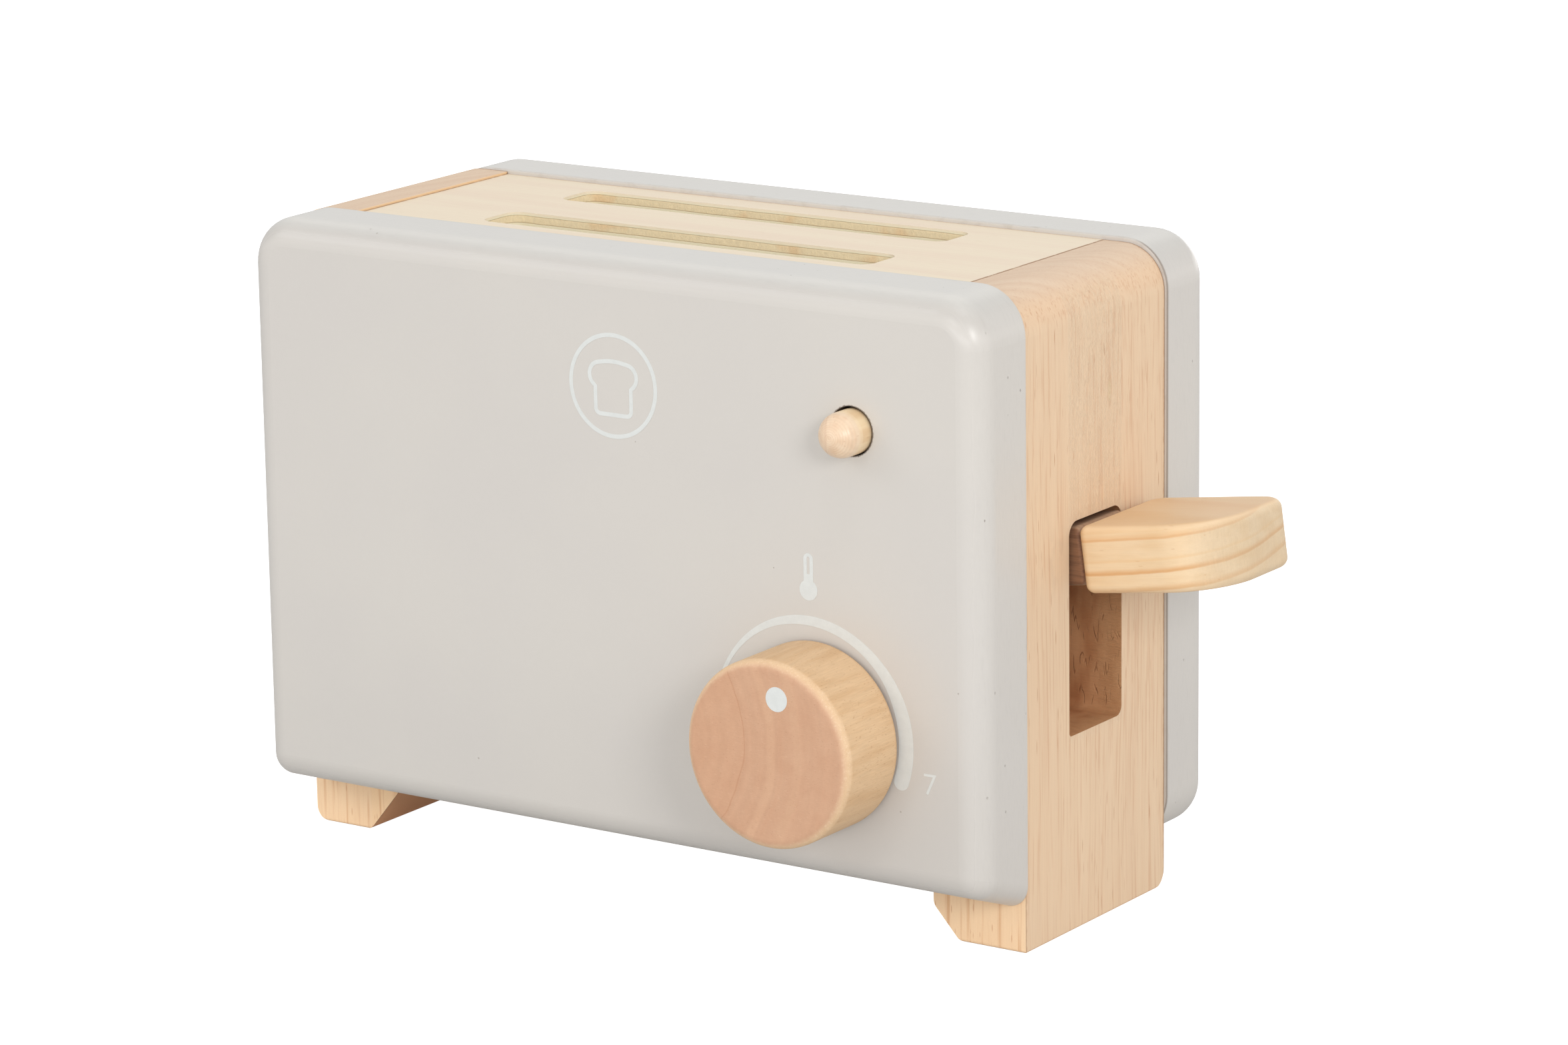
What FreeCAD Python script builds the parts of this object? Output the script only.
import FreeCAD, Part
import math
import os
from FreeCAD import Vector, Placement, Rotation

# Wooden toy toaster. Millimetres, +Z up, +X towards the lever, -Y is the face
# with the knob and the button. Shapes are built about the middle of the body's
# footprint and moved at the end so that the origin is the bottom centre of the
# whole outline, lever handle and knob included.

# ---------------------------------------------------------------- dimensions
BODY_W = 180.0            # painted panels, along X
BODY_H = 135.0            # top of the panels above the table
BODY_D = 88.0             # over both panels
PANEL_T = 17.0            # panel thickness
PANEL_Z0 = 9.5            # lower inner edge of the panels
FRONT_UNDERCUT = 0.365    # slope of the front panel's underside, rising to the front
PANEL_CORNER = 10.0       # radius of the upper outline corners
PANEL_FOOT_FRONT = 4.4    # radius of the front panel's lower outline corners
PANEL_FOOT_BACK = 9.6     # radius of the back panel's lower outline corners
PANEL_ROUND = 5.6         # rounding of the outer face's edge
PANEL_EASE = 0.4          # easing of the inner face's edge

BLOCK_IN = 67.6           # inner face of an end block from the centre
BLOCK_TOP = 134.0         # top of the top board and of the right end block
# outer face from the centre, top, upper corner, outer bottom edge, and the
# foot's inner bottom bevel along X and Z; the left block stands a little proud
# of the top board
LEFT_BLOCK = (90.0, 134.55, 7.8, 3.3, 8.0, 9.6)
RIGHT_BLOCK = (89.3, BLOCK_TOP, 9.3, 0.6, 6.3, 7.0)
FOOT_FRONT, FOOT_BACK = 0.8, 3.8   # front and back bottom edges of a foot
RABBET_X = 75.0           # seam between top board and end block

TOP_T = 9.0               # top board thickness
SLOT_X0, SLOT_X1 = -47.8, 48.4
SLOT_FRONT_Y = (-19.4, -7.4)
SLOT_BACK_Y = (8.2, 20.0)
SLOT_CORNER = 3.0

LEVER_SLOT_Y = (-10.2, 10.0)
LEVER_SLOT_Z = (40.7, 84.6)

BASE_Z0, BASE_T = 17.0, 6.0
CLEAT_T = 8.0

PIVOT_X, PIVOT_Z = -60.0, 57.0
REST_TILT = 7.8           # the arm's slope at rest, degrees
ARM_HALF_T = 6.0
ARM_HALF_NARROW = 5.5
ARM_HALF_WIDE = 9.1
ARM_LEN = 153.17
PIN_R = 2.98
PIN_BORE_R = 3.05
HANDLE_LEN = 32.2
HANDLE_Y = (-10.3, 20.0)
HANDLE_W = (-7.39, 6.31)
HANDLE_R_FR, HANDLE_R_BR, HANDLE_R_BL, HANDLE_R_FL = 13.8, 6.5, 4.2, 2.0
HANDLE_EASE = 1.8
REST_S = (25.0, 61.0, 97.0)   # the toast rests along the arm

KNOB_X, KNOB_Z = 51.85, 44.2
KNOB_R = 19.2
KNOB_BACK, KNOB_FACE = -44.9, -62.8
KNOB_ROUND = 2.1
AXLE_R = 3.98
AXLE_BORE_R = 4.05

BUTTON_X, BUTTON_Z = 60.35, 106.45
BUTTON_R = 4.55
BUTTON_HOLE_R = 5.0
BUTTON_HOLE_Z = 106.55
BUTTON_TIP, BUTTON_DOME = -51.9, 4.27
BUTTON_END = 9.7

RELEASE_Y, RELEASE_Z = 14.0, 119.6   # pivot of the release arm, which hangs behind the button's rod
RELEASE_X = (57.0, 63.3)
RELEASE_SCREW_R = 2.0
MAGNET_Z = 49.2           # height of the magnet on the release arm
MAGNET_R, MAGNET_T = 3.0, 3.0

SPRING_X = 49.6

GLUE = 0.02               # radial glue gap of a dowel or a pressed pin

ORIGIN_X, ORIGIN_Y = 17.21, -9.4   # bottom centre of the outline, seen from the body's centre

PANEL_IN = BODY_D / 2 - PANEL_T    # inner faces of the panels
PANEL_OUT = BODY_D / 2


# ------------------------------------------------------------------- helpers
def box(x0, x1, y0, y1, z0, z1):
    return Part.makeBox(x1 - x0, y1 - y0, z1 - z0, Vector(x0, y0, z0))


def cyl(axis, a0, a1, p, q, r):
    """Cylinder along an axis from a0 to a1; p, q are its other coordinates in X, Y, Z order."""
    if axis == "x":
        return Part.makeCylinder(r, a1 - a0, Vector(a0, p, q), Vector(1, 0, 0))
    if axis == "y":
        return Part.makeCylinder(r, a1 - a0, Vector(p, a0, q), Vector(0, 1, 0))
    return Part.makeCylinder(r, a1 - a0, Vector(p, q, a0), Vector(0, 0, 1))


def rounded_wire(points, radii, place):
    """Closed outline with a radius at each corner; place maps (a, b) to a Vector."""
    n = len(points)
    ends = []
    for i in range(n):
        p = Vector(points[i][0], points[i][1], 0)
        a = Vector(points[i - 1][0], points[i - 1][1], 0) - p
        b = Vector(points[(i + 1) % n][0], points[(i + 1) % n][1], 0) - p
        a.normalize()
        b.normalize()
        r = radii[i]
        if r <= 0:
            ends.append((p, None, p))
            continue
        half = a.getAngle(b) / 2
        bis = a + b
        bis.normalize()
        d = r / math.tan(half)
        ends.append((p + a * d, p + bis * (r / math.sin(half) - r), p + b * d))
    edges = []
    for i in range(n):
        t1, mid, t2 = ends[i]
        if mid is not None:
            edges.append(Part.Arc(place(t1.x, t1.y), place(mid.x, mid.y), place(t2.x, t2.y)).toShape())
        nxt = ends[(i + 1) % n][0]
        if (nxt - t2).Length > 1e-6:
            edges.append(Part.makeLine(place(t2.x, t2.y), place(nxt.x, nxt.y)))
    return Part.Wire(Part.__sortEdges__(edges))


def prism(points, radii, place, direction):
    return Part.Face(rounded_wire(points, radii, place)).extrude(direction)


def turned(profile, origin, axis, radial):
    """Solid of revolution; profile is a list of (radius, height) corners along the axis."""
    pts = [origin + radial * r + axis * h for r, h in profile]
    wire = Part.makePolygon(pts + [pts[0]])
    return Part.Face(wire).revolve(origin, axis, 360)


def edges_at(shape, test):
    return [e for e in shape.Edges if all(test(v.Point) for v in e.Vertexes) and test(e.CenterOfMass)]


def rounded(shape, groups):
    """Rounds groups of edges, each with its own radius, in one step so that they blend at the corners."""
    doc = FreeCAD.newDocument("rounding")
    base = doc.addObject("Part::Feature", "base")
    base.Shape = shape
    chosen = []
    for i, e in enumerate(base.Shape.Edges):
        for radius, edges in groups:
            if any((e.CenterOfMass - o.CenterOfMass).Length < 1e-6 for o in edges):
                chosen.append((i + 1, radius, radius))
                break
    fillet = doc.addObject("Part::Fillet", "fillet")
    fillet.Base = base
    fillet.Edges = chosen
    doc.recompute()
    result = fillet.Shape.copy()
    FreeCAD.closeDocument(doc.Name)
    return result.Solids[0]


def one(shape):
    """The single solid of a boolean result, with split faces joined."""
    shape = shape.removeSplitter()
    return shape.Solids[0] if len(shape.Solids) == 1 else shape


nodes = {}

# -------------------------------------------------------------- outer panels
DOWEL_SPOTS = [(sx * 79.0, z) for sx in (-1, 1) for z in (30.0, 108.0)]
DOWEL_R, DOWEL_IN, DOWEL_OUT = 3.0, 10.5, 10.5


def panel(front):
    s = -1 if front else 1
    h = BODY_W / 2
    y_in, y_out = s * PANEL_IN, s * PANEL_OUT
    solid = prism(
        [(-h, PANEL_Z0), (h, PANEL_Z0), (h, BODY_H), (-h, BODY_H)],
        [0, 0, PANEL_CORNER, PANEL_CORNER],
        lambda a, b: Vector(a, y_in, b),
        Vector(0, y_out - y_in, 0),
    )
    if front:
        # underside cut on the slope, higher at the face
        y_far = y_out + s
        z_far = PANEL_Z0 + FRONT_UNDERCUT * (PANEL_T + 1)
        wedge = [(y_in, PANEL_Z0), (y_far, z_far), (y_far, PANEL_Z0 - 5), (y_in, PANEL_Z0 - 5), (y_in, PANEL_Z0)]
        solid = solid.cut(Part.Face(Part.makePolygon([Vector(-h - 1, a, b) for a, b in wedge])).extrude(Vector(2 * h + 2, 0, 0)))
    y_mid = (y_in + y_out) / 2
    face_edges = edges_at(solid, lambda p: abs(p.y - y_out) < 1e-4)
    corner_edges = [
        e for e in solid.Edges
        if abs(abs(e.CenterOfMass.x) - h) < 1e-4 and abs(e.CenterOfMass.y - y_mid) < 1 and e.CenterOfMass.z < PANEL_Z0 + 9
    ]
    solid = rounded(solid, [(PANEL_ROUND, face_edges), (PANEL_FOOT_FRONT if front else PANEL_FOOT_BACK, corner_edges)])
    solid = solid.makeFillet(PANEL_EASE, edges_at(solid, lambda p: abs(p.y - y_in) < 1e-4))
    for x, z in DOWEL_SPOTS:
        lo, hi = sorted((y_in, y_in + s * (DOWEL_OUT + 0.5)))
        solid = solid.cut(cyl("y", lo, hi, x, z, DOWEL_R))
    lo, hi = sorted((y_in, y_in + s * 7.0))
    solid = solid.cut(cyl("y", lo, hi, PIVOT_X, PIVOT_Z, PIN_R + GLUE))
    if front:
        solid = solid.cut(cyl("y", y_out - 1, y_in + 1, BUTTON_X, BUTTON_HOLE_Z, BUTTON_HOLE_R))
        solid = solid.cut(cyl("y", y_out - 1, y_in + 1, KNOB_X, KNOB_Z, AXLE_BORE_R))
    return one(solid)


nodes["front_panel"] = panel(True)
nodes["back_panel"] = panel(False)


# ---------------------------------------------------------------- end blocks
def end_block(side):
    out, top_z, corner, foot, bevel_x, bevel_z = RIGHT_BLOCK if side > 0 else LEFT_BLOCK
    pts = [
        (BLOCK_IN, BLOCK_TOP - TOP_T),
        (BLOCK_IN, bevel_z),
        (BLOCK_IN + bevel_x, 0.0),
        (out, 0.0),
        (out, top_z),
        (RABBET_X, top_z),
        (RABBET_X, BLOCK_TOP - TOP_T),
    ]
    radii = [0, 2.5, 2.5, foot, corner, 0.25, 0]
    solid = prism(pts, radii, lambda a, b: Vector(side * a, -PANEL_IN, b), Vector(0, 2 * PANEL_IN, 0))
    lo, hi = sorted((side * (BLOCK_IN - 1), side * (out + 1)))
    solid = solid.common(
        prism(
            [(-PANEL_IN, 0.0), (PANEL_IN, 0.0), (PANEL_IN, top_z + 1), (-PANEL_IN, top_z + 1)],
            [FOOT_FRONT, FOOT_BACK, 0, 0],
            lambda a, b: Vector(lo, a, b),
            Vector(hi - lo, 0, 0),
        )
    )
    for x, z in DOWEL_SPOTS:
        if x * side > 0:
            solid = solid.cut(cyl("y", -PANEL_IN, -PANEL_IN + DOWEL_IN + 0.5, x, z, DOWEL_R))
            solid = solid.cut(cyl("y", PANEL_IN - DOWEL_IN - 0.5, PANEL_IN, x, z, DOWEL_R))
    if side > 0:
        y0, y1 = LEVER_SLOT_Y
        z0, z1 = LEVER_SLOT_Z
        solid = solid.cut(
            prism(
                [(y0, z0), (y1, z0), (y1, z1), (y0, z1)],
                [0.8, 2.0, 3.0, 3.0],
                lambda a, b: Vector(BLOCK_IN - 2, a, b),
                Vector(out - BLOCK_IN + 4, 0, 0),
            )
        )
        solid = solid.cut(cyl("x", BLOCK_IN - 1, 77.0, RELEASE_Y, RELEASE_Z, RELEASE_SCREW_R + GLUE))
    return one(solid)


nodes["left_end_block"] = end_block(-1)
nodes["right_end_block"] = end_block(1)

dowels = []
for x, z in DOWEL_SPOTS:
    for s in (-1, 1):
        lo, hi = sorted((s * (PANEL_IN - DOWEL_IN), s * (PANEL_IN + DOWEL_OUT)))
        d = cyl("y", lo, hi, x, z, DOWEL_R - GLUE)
        dowels.append(d.makeChamfer(0.6, edges_at(d, lambda p, lo=lo, hi=hi: abs(p.y - lo) < 1e-4 or abs(p.y - hi) < 1e-4)))
nodes["panel_dowels"] = Part.makeCompound(dowels)

# ----------------------------------------------------------------- top board
top = box(-RABBET_X, RABBET_X, -PANEL_IN, PANEL_IN, BLOCK_TOP - TOP_T, BLOCK_TOP)
for y0, y1 in (SLOT_FRONT_Y, SLOT_BACK_Y):
    top = top.cut(
        prism(
            [(SLOT_X0, y0), (SLOT_X1, y0), (SLOT_X1, y1), (SLOT_X0, y1)],
            [SLOT_CORNER] * 4,
            lambda a, b: Vector(a, b, BLOCK_TOP - TOP_T - 1),
            Vector(0, 0, TOP_T + 2),
        )
    )
EYE_SHANK_R = 1.1
top = top.cut(cyl("z", BLOCK_TOP - TOP_T - 1, BLOCK_TOP - 2.5, SPRING_X, 0, EYE_SHANK_R + GLUE))
nodes["top_board"] = one(top)

# the divider between the two toast slots, under the top board
nodes["slot_divider"] = box(-50, 38, -3, 3, 90, BLOCK_TOP - TOP_T)


# ---------------------------------------------------------------- underside
def flat_head_screw(x, y, grow=0.0):
    z = BASE_Z0 + 0.2
    body = turned(
        [(0, 0), (3.5 + grow, 0), (1.75 + grow, 2.3), (1.75 + grow, 11.0), (0.2 + grow, 12.6), (0, 12.6)],
        Vector(x, y, z), Vector(0, 0, 1), Vector(1, 0, 0),
    )
    if grow == 0:
        for dx, dy in ((2.1, 0.42), (0.42, 2.1)):
            body = body.cut(box(x - dx, x + dx, y - dy, y + dy, z - 1, z + 1.3))
    return body


SCREWS = [(sx * 63.5, sy * 18.0) for sx in (-1, 1) for sy in (-1, 1)]
base = box(-67.3, 67.3, -PANEL_IN + 0.2, PANEL_IN - 0.2, BASE_Z0, BASE_Z0 + BASE_T)
cleats = []
for sx in (-1, 1):
    lo, hi = sorted((sx * 59.6, sx * BLOCK_IN))
    cleats.append(box(lo, hi, -26, 26, BASE_Z0 + BASE_T, BASE_Z0 + BASE_T + CLEAT_T))
for x, y in SCREWS:
    base = base.cut(flat_head_screw(x, y, 0.04)).cut(cyl("z", BASE_Z0 - 1, BASE_Z0 + 0.25, x, y, 3.56))
    cleats = [c.cut(flat_head_screw(x, y, 0.04)) for c in cleats]
nodes["base_board"] = one(base)
nodes["base_cleats"] = Part.makeCompound([one(c) for c in cleats])
nodes["base_screws"] = Part.makeCompound([flat_head_screw(x, y) for x, y in SCREWS])

# ------------------------------------------------------------- pivot of lever
pin = cyl("y", -PANEL_IN - 6.5, PANEL_IN + 6.5, PIVOT_X, PIVOT_Z, PIN_R)
nodes["lever_pivot_pin"] = pin.makeChamfer(0.5, edges_at(pin, lambda p: abs(abs(p.y) - PANEL_IN - 6.5) < 1e-4))
spacers = []
for s in (-1, 1):
    lo, hi = sorted((s * (ARM_HALF_NARROW + 0.35), s * (PANEL_IN - 0.1)))
    spacers.append(cyl("y", lo, hi, PIVOT_X, PIVOT_Z, 5.5).cut(cyl("y", lo - 1, hi + 1, PIVOT_X, PIVOT_Z, PIN_R + GLUE)))
nodes["pivot_spacers"] = Part.makeCompound(spacers)

# ------------------------------------------------------ lever, in its own axes
# s runs along the arm from the pivot, y across, w up from the arm's centreline
LEVER = Placement(Vector(PIVOT_X, 0, PIVOT_Z), Rotation(Vector(0, 1, 0), -REST_TILT))


def on_lever(shape):
    shape = shape.copy()
    shape.Placement = LEVER.multiply(shape.Placement)
    return shape


n, w = ARM_HALF_NARROW, ARM_HALF_WIDE
arm = prism(
    [(-8, -n), (124.8, -n), (128.2, -w), (ARM_LEN, -w), (ARM_LEN, w), (128.2, w), (124.8, n), (-8, n)],
    [0, 2.5, 2.5, 1.0, 1.0, 2.5, 2.5, 0],
    lambda a, b: Vector(a, b, -ARM_HALF_T),
    Vector(0, 0, 2 * ARM_HALF_T),
)
side = box(0, ARM_LEN + 5, -20, 20, -ARM_HALF_T, ARM_HALF_T).fuse(cyl("y", -20, 20, 0, 0, ARM_HALF_T))
arm = arm.common(side.removeSplitter())
arm = arm.makeFillet(1.6, [
    e for e in arm.Edges
    if e.CenterOfMass.x > 128 and abs(abs(e.CenterOfMass.y) - w) < 1e-3 and abs(abs(e.CenterOfMass.z) - ARM_HALF_T) < 1e-3
])
arm = arm.cut(cyl("y", -20, 20, 0, 0, PIN_BORE_R))
for s in REST_S:
    arm = arm.cut(box(s - 4.0, s + 4.0, -20, 20, 1.0, ARM_HALF_T + 1))
HANDLE_DOWEL_Y = (-4.6, 4.6)
for y in HANDLE_DOWEL_Y:
    arm = arm.cut(cyl("x", ARM_LEN - 12.0, ARM_LEN + 1, y, -0.4, 2.5))
# steel disc let into the arm's back side, which meets the magnet when the lever is down
STRIKER_S, STRIKER_R = 120.4, 3.5
arm = arm.cut(cyl("y", n - 1.5, n + 1, STRIKER_S, 0, STRIKER_R + GLUE))
EYE_S = 112.0
arm = arm.cut(cyl("z", -1.5, ARM_HALF_T + 1, EYE_S, 0, EYE_SHANK_R + GLUE))
nodes["lever_arm"] = on_lever(one(arm))

h0, h1 = ARM_LEN, ARM_LEN + HANDLE_LEN
handle = prism(
    [(h0, HANDLE_Y[0]), (h1, HANDLE_Y[0]), (h1, HANDLE_Y[1]), (h0, HANDLE_Y[1])],
    [HANDLE_R_FL, HANDLE_R_FR, HANDLE_R_BR, HANDLE_R_BL],
    lambda a, b: Vector(a, b, HANDLE_W[0]),
    Vector(0, 0, HANDLE_W[1] - HANDLE_W[0]),
)
handle = handle.makeFillet(
    HANDLE_EASE,
    edges_at(handle, lambda p: abs(p.z - HANDLE_W[0]) < 1e-4) + edges_at(handle, lambda p: abs(p.z - HANDLE_W[1]) < 1e-4),
)
for y in HANDLE_DOWEL_Y:
    handle = handle.cut(cyl("x", ARM_LEN - 1, ARM_LEN + 12.0, y, -0.4, 2.5))
nodes["lever_handle"] = on_lever(one(handle))
nodes["handle_dowels"] = on_lever(
    Part.makeCompound([cyl("x", ARM_LEN - 11.5, ARM_LEN + 11.5, y, -0.4, 2.5 - GLUE) for y in HANDLE_DOWEL_Y])
)

rests = []
for s in REST_S:
    r = box(s - 3.96, s + 3.96, -25, 25, 1.02, ARM_HALF_T)
    rests.append(r.makeFillet(1.2, edges_at(r, lambda p: abs(abs(p.y) - 25) < 1e-4 and p.z > 1.5)))
nodes["toast_rests"] = on_lever(Part.makeCompound(rests))
nodes["striker_disc"] = on_lever(cyl("y", n - 1.48, n, STRIKER_S, 0, STRIKER_R))

EYE_R, EYE_WIRE = 2.6, 0.7
eye = Part.makeTorus(EYE_R, EYE_WIRE, Vector(EYE_S, 0, ARM_HALF_T + 4.2), Vector(0, 1, 0))
eye = eye.fuse(cyl("z", -1.0, ARM_HALF_T + 4.2 - EYE_R + 0.25, EYE_S, 0, EYE_SHANK_R))
nodes["lower_spring_eye"] = on_lever(one(eye))

UPPER_EYE_Z = 120.5
eye = Part.makeTorus(EYE_R, EYE_WIRE, Vector(SPRING_X, 0, UPPER_EYE_Z), Vector(0, 1, 0))
eye = eye.fuse(cyl("z", UPPER_EYE_Z + EYE_R - 0.25, BLOCK_TOP - 3.0, SPRING_X, 0, EYE_SHANK_R))
nodes["upper_spring_eye"] = one(eye)


# ------------------------------------------------------------------- springs
def coil(pitch, height, radius, wire, origin, axis):
    """A round-wire helix about an axis through origin."""
    helix = Part.makeLongHelix(pitch, height, radius)
    circle = Part.Wire(Part.makeCircle(wire / 2, Vector(radius, 0, 0), Vector(0, 1, pitch / (2 * math.pi * radius))))
    solid = Part.Wire(helix.Edges).makePipeShell([circle], True, True)
    if axis == "y":
        solid.rotate(Vector(0, 0, 0), Vector(1, 0, 0), -90)
    solid.translate(origin)
    return solid


# extension spring between the two eyes: coil body and a hook loop at each end
eye_top = LEVER.multVec(Vector(EYE_S, 0, ARM_HALF_T + 4.2)).z + EYE_R
SPRING_R, SPRING_WIRE, HOOK_R = 3.1, 0.8, 2.4
hook_lo = eye_top - EYE_WIRE - SPRING_WIRE / 2 - 0.15 + HOOK_R
hook_hi = UPPER_EYE_Z - EYE_R + EYE_WIRE + SPRING_WIRE / 2 + 0.15 - HOOK_R
c0, c1 = hook_lo + HOOK_R + 0.55, hook_hi - HOOK_R - 0.55
PITCH = (c1 - c0) / 19.0
spring = coil(PITCH, c1 - c0, SPRING_R, SPRING_WIRE, Vector(SPRING_X, 0, c0), "z")
for zc, s in ((hook_lo, 1), (hook_hi, -1)):
    loop = Part.makeTorus(HOOK_R, SPRING_WIRE / 2, Vector(SPRING_X, 0, zc), Vector(1, 0, 0))
    spring = spring.fuse(loop)
    z_end = c0 if s > 0 else c1
    # a short bridge from the loop's crown to the coil's end
    a = Vector(SPRING_X, 0, zc + s * HOOK_R)
    b = Vector(SPRING_X + SPRING_R, 0, z_end)
    arm_ = Part.makeCylinder(SPRING_WIRE / 2, (b - a).Length, a, b - a)
    spring = spring.fuse(arm_).fuse(Part.makeSphere(SPRING_WIRE / 2, a)).fuse(Part.makeSphere(SPRING_WIRE / 2 + 0.02, b))
nodes["lift_spring"] = one(spring)

# -------------------------------------------------------------------- button
rod = cyl("y", BUTTON_TIP + BUTTON_DOME, BUTTON_END, BUTTON_X, BUTTON_Z, BUTTON_R)
rod = rod.makeChamfer(0.6, edges_at(rod, lambda p: abs(p.y - BUTTON_END) < 1e-4))
yb = BUTTON_TIP + BUTTON_DOME
dome_r = (BUTTON_R ** 2 + BUTTON_DOME ** 2) / (2 * BUTTON_DOME)
ang = math.asin(min(1.0, BUTTON_R / dome_r))
yc = BUTTON_TIP + dome_r
arc = Part.Arc(
    Vector(BUTTON_X, BUTTON_TIP, BUTTON_Z),
    Vector(BUTTON_X + dome_r * math.sin(ang / 2), yc - dome_r * math.cos(ang / 2), BUTTON_Z),
    Vector(BUTTON_X + BUTTON_R, yb, BUTTON_Z),
).toShape()
dome = Part.Face(
    Part.Wire([
        arc,
        Part.makeLine(Vector(BUTTON_X + BUTTON_R, yb, BUTTON_Z), Vector(BUTTON_X, yb, BUTTON_Z)),
        Part.makeLine(Vector(BUTTON_X, yb, BUTTON_Z), Vector(BUTTON_X, BUTTON_TIP, BUTTON_Z)),
    ])
).revolve(Vector(BUTTON_X, 0, BUTTON_Z), Vector(0, 1, 0), 360)
nodes["push_button"] = one(rod.fuse(dome))

COLLAR = (-PANEL_IN + 0.3, -PANEL_IN + 4.3)
nodes["button_collar"] = cyl("y", COLLAR[0], COLLAR[1], BUTTON_X, BUTTON_Z, 6.8).cut(
    cyl("y", COLLAR[0] - 1, COLLAR[1] + 1, BUTTON_X, BUTTON_Z, BUTTON_R + GLUE)
)
GUIDE_Y = (-8.0, 2.0)
guide = box(54.6, 67.3, GUIDE_Y[0], GUIDE_Y[1], 98.0, BLOCK_TOP - TOP_T)
nodes["button_guide"] = one(guide.cut(cyl("y", GUIDE_Y[0] - 1, GUIDE_Y[1] + 1, BUTTON_X, BUTTON_Z, BUTTON_R + 0.3)))
s0, s1 = COLLAR[1] + 0.1, GUIDE_Y[0] - 0.1
WIRE_B = 0.9
turns = 6.0
spring = coil((s1 - s0 - WIRE_B) / turns, s1 - s0 - WIRE_B, 5.75, WIRE_B, Vector(BUTTON_X, s0 + WIRE_B / 2, BUTTON_Z), "y")
nodes["button_spring"] = one(spring)

# --------------------------------------------------------------- release arm
# It hangs from a screw behind the button's rod. Its magnet holds the lever down
# by the steel disc; the pressed button swings it back, away from the disc.
rx0, rx1 = RELEASE_X


def release_piece(points, radii):
    return prism(points, radii, lambda a, b: Vector(rx0, a, b), Vector(rx1 - rx0, 0, 0))


release = release_piece(
    [(6.0, 44.4), (11.2, 44.4), (14.0, 58.0), (17.2, 119.6), (11.6, 119.6), (11.2, 59.5), (6.0, 54.6)],
    [1.2, 3.0, 12.0, 0, 0, 3.0, 1.5],
)
release = release.fuse(cyl("x", rx0, rx1, RELEASE_Y, RELEASE_Z, 4.6))
release = release.fuse(cyl("x", rx0, rx1, 13.0, BUTTON_Z, 3.0))
release = release.cut(cyl("x", rx0 - 1, rx1 + 1, RELEASE_Y, RELEASE_Z, RELEASE_SCREW_R + 0.06))
release = release.cut(cyl("y", 5.0, 5.8 + MAGNET_T + 0.05, (rx0 + rx1) / 2, MAGNET_Z, MAGNET_R + GLUE))
nodes["release_arm"] = one(release)
magnet = cyl("y", 5.8, 5.8 + MAGNET_T, (rx0 + rx1) / 2, MAGNET_Z, MAGNET_R)
nodes["hold_down_magnet"] = magnet.makeFillet(0.25, edges_at(magnet, lambda p: abs(p.y - 5.8) < 1e-4))

xs = rx0 - 0.3
screw = turned(
    [(0, -2.4), (1.6, -2.3), (3.0, -1.6), (3.9, -0.3), (3.9, 0), (RELEASE_SCREW_R, 0), (RELEASE_SCREW_R, 76.0 - xs - 2.0), (0.2, 76.0 - xs), (0, 76.0 - xs)],
    Vector(xs, RELEASE_Y, RELEASE_Z), Vector(1, 0, 0), Vector(0, 1, 0),
)
screw = screw.cut(box(xs - 3, xs - 1.2, RELEASE_Y - 3.4, RELEASE_Y + 3.4, RELEASE_Z - 0.4, RELEASE_Z + 0.4))
nodes["release_pivot_screw"] = one(screw)
nodes["release_spacer"] = cyl("x", rx1 + 0.3, BLOCK_IN, RELEASE_Y, RELEASE_Z, 4.5).cut(
    cyl("x", rx1 - 1, BLOCK_IN + 1, RELEASE_Y, RELEASE_Z, RELEASE_SCREW_R + GLUE)
)

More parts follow.
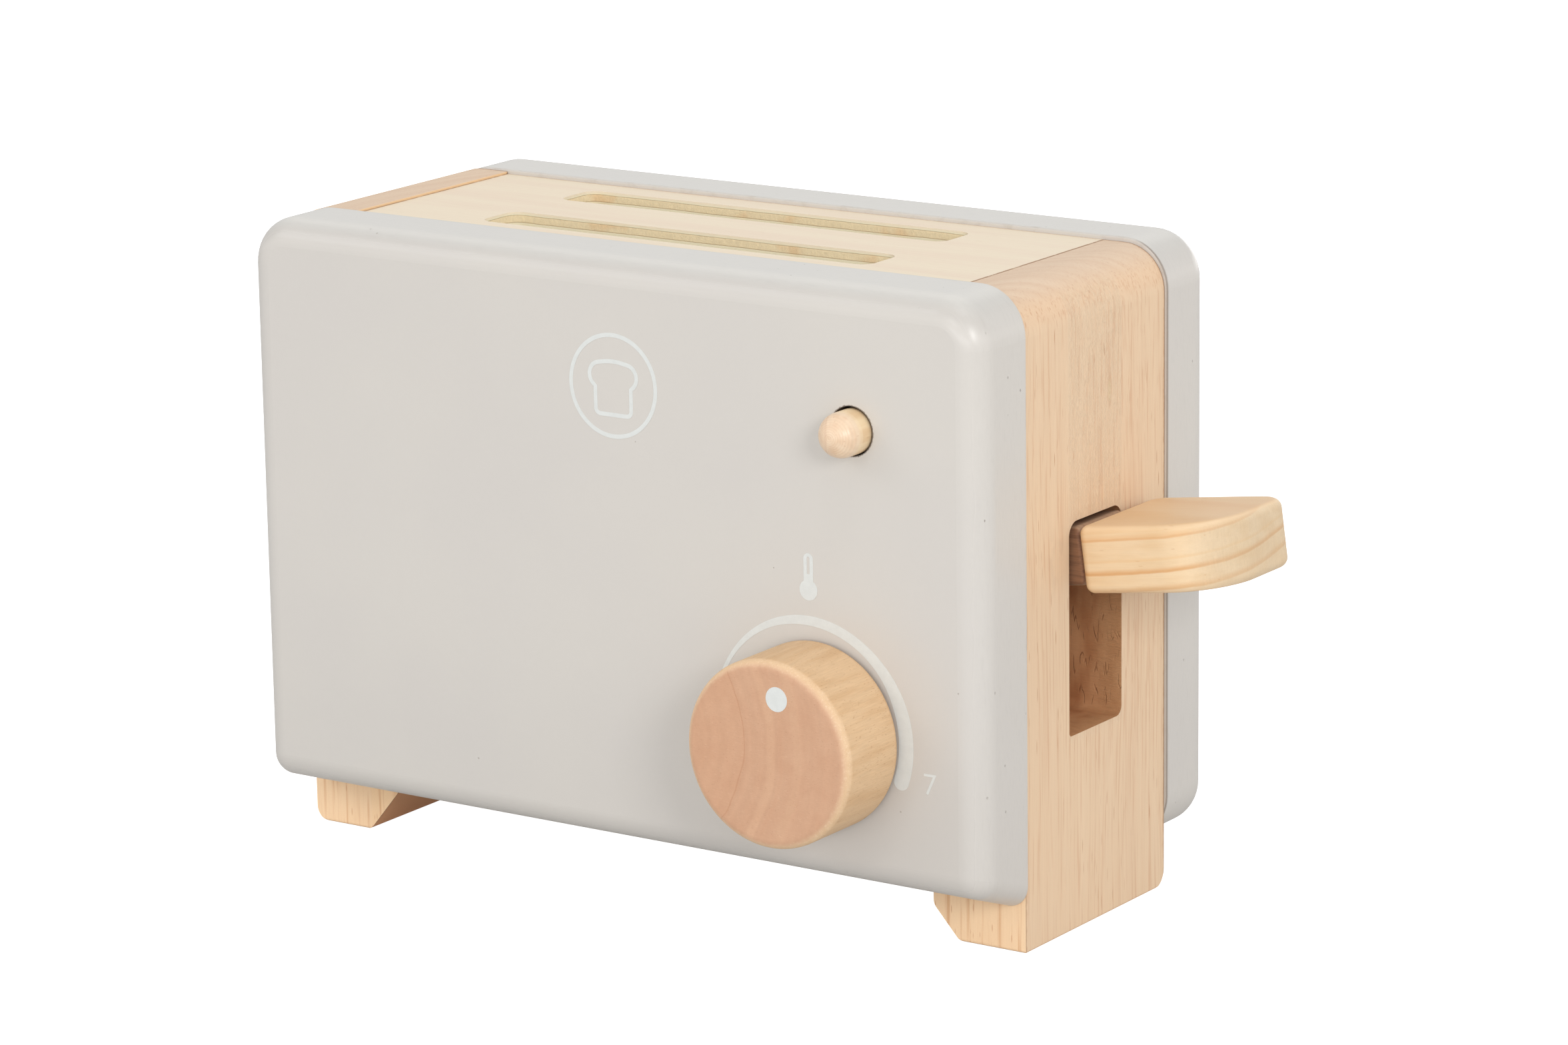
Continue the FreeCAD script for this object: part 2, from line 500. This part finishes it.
# ---------------------------------------------------------------------- knob
knob = cyl("y", KNOB_FACE, KNOB_BACK, KNOB_X, KNOB_Z, KNOB_R)
knob = knob.makeFillet(KNOB_ROUND, edges_at(knob, lambda p: abs(p.y - KNOB_FACE) < 1e-4))
knob = knob.makeFillet(0.5, edges_at(knob, lambda p: abs(p.y - KNOB_BACK) < 1e-4))
knob = knob.cut(cyl("y", -57.0, KNOB_BACK + 1, KNOB_X, KNOB_Z, AXLE_R + GLUE))
nodes["knob"] = one(knob)
AXLE_END = -PANEL_IN + 0.4
axle = cyl("y", -56.8, AXLE_END, KNOB_X, KNOB_Z, AXLE_R)
axle = axle.cut(cyl("y", AXLE_END - 12.5, AXLE_END + 1, KNOB_X, KNOB_Z, 1.52))
nodes["knob_axle"] = one(axle)
nodes["knob_washer"] = cyl("y", -PANEL_OUT - 0.55, -PANEL_OUT, KNOB_X, KNOB_Z, 8.0).cut(
    cyl("y", -PANEL_OUT - 1, -PANEL_OUT + 1, KNOB_X, KNOB_Z, 4.3)
)
nodes["retaining_washer"] = cyl("y", AXLE_END, AXLE_END + 1.2, KNOB_X, KNOB_Z, 7.5).cut(
    cyl("y", AXLE_END - 1, AXLE_END + 2, KNOB_X, KNOB_Z, 1.6)
)
screw = turned(
    [(0, 2.2), (1.4, 2.1), (2.7, 1.4), (3.1, 0.4), (3.1, 0), (1.5, 0), (1.5, -12.0), (0.2, -13.2), (0, -13.2)],
    Vector(KNOB_X, AXLE_END + 1.2, KNOB_Z), Vector(0, 1, 0), Vector(1, 0, 0),
)
screw = screw.cut(box(KNOB_X - 2.0, KNOB_X + 2.0, AXLE_END + 2.3, AXLE_END + 4, KNOB_Z - 0.4, KNOB_Z + 0.4))
screw = screw.cut(box(KNOB_X - 0.4, KNOB_X + 0.4, AXLE_END + 2.3, AXLE_END + 4, KNOB_Z - 2.0, KNOB_Z + 2.0))
nodes["axle_screw"] = one(screw)

# -------------------------------------------------------------------- output
os.makedirs("parts", exist_ok=True)
lo = [1e9] * 3
hi = [-1e9] * 3
for name, shape in nodes.items():
    shape = shape.copy()
    shape.translate(Vector(-ORIGIN_X, -ORIGIN_Y, 0))
    shape.exportStep("parts/%s.step" % name)
    b = shape.optimalBoundingBox(False)
    lo = [min(a, c) for a, c in zip(lo, (b.XMin, b.YMin, b.ZMin))]
    hi = [max(a, c) for a, c in zip(hi, (b.XMax, b.YMax, b.ZMax))]
    print("%-20s solids %d valid %s volume %9.1f" % (name, len(shape.Solids), shape.isValid(), shape.Volume))
print("bounds", [round(v, 2) for v in lo], [round(v, 2) for v in hi])
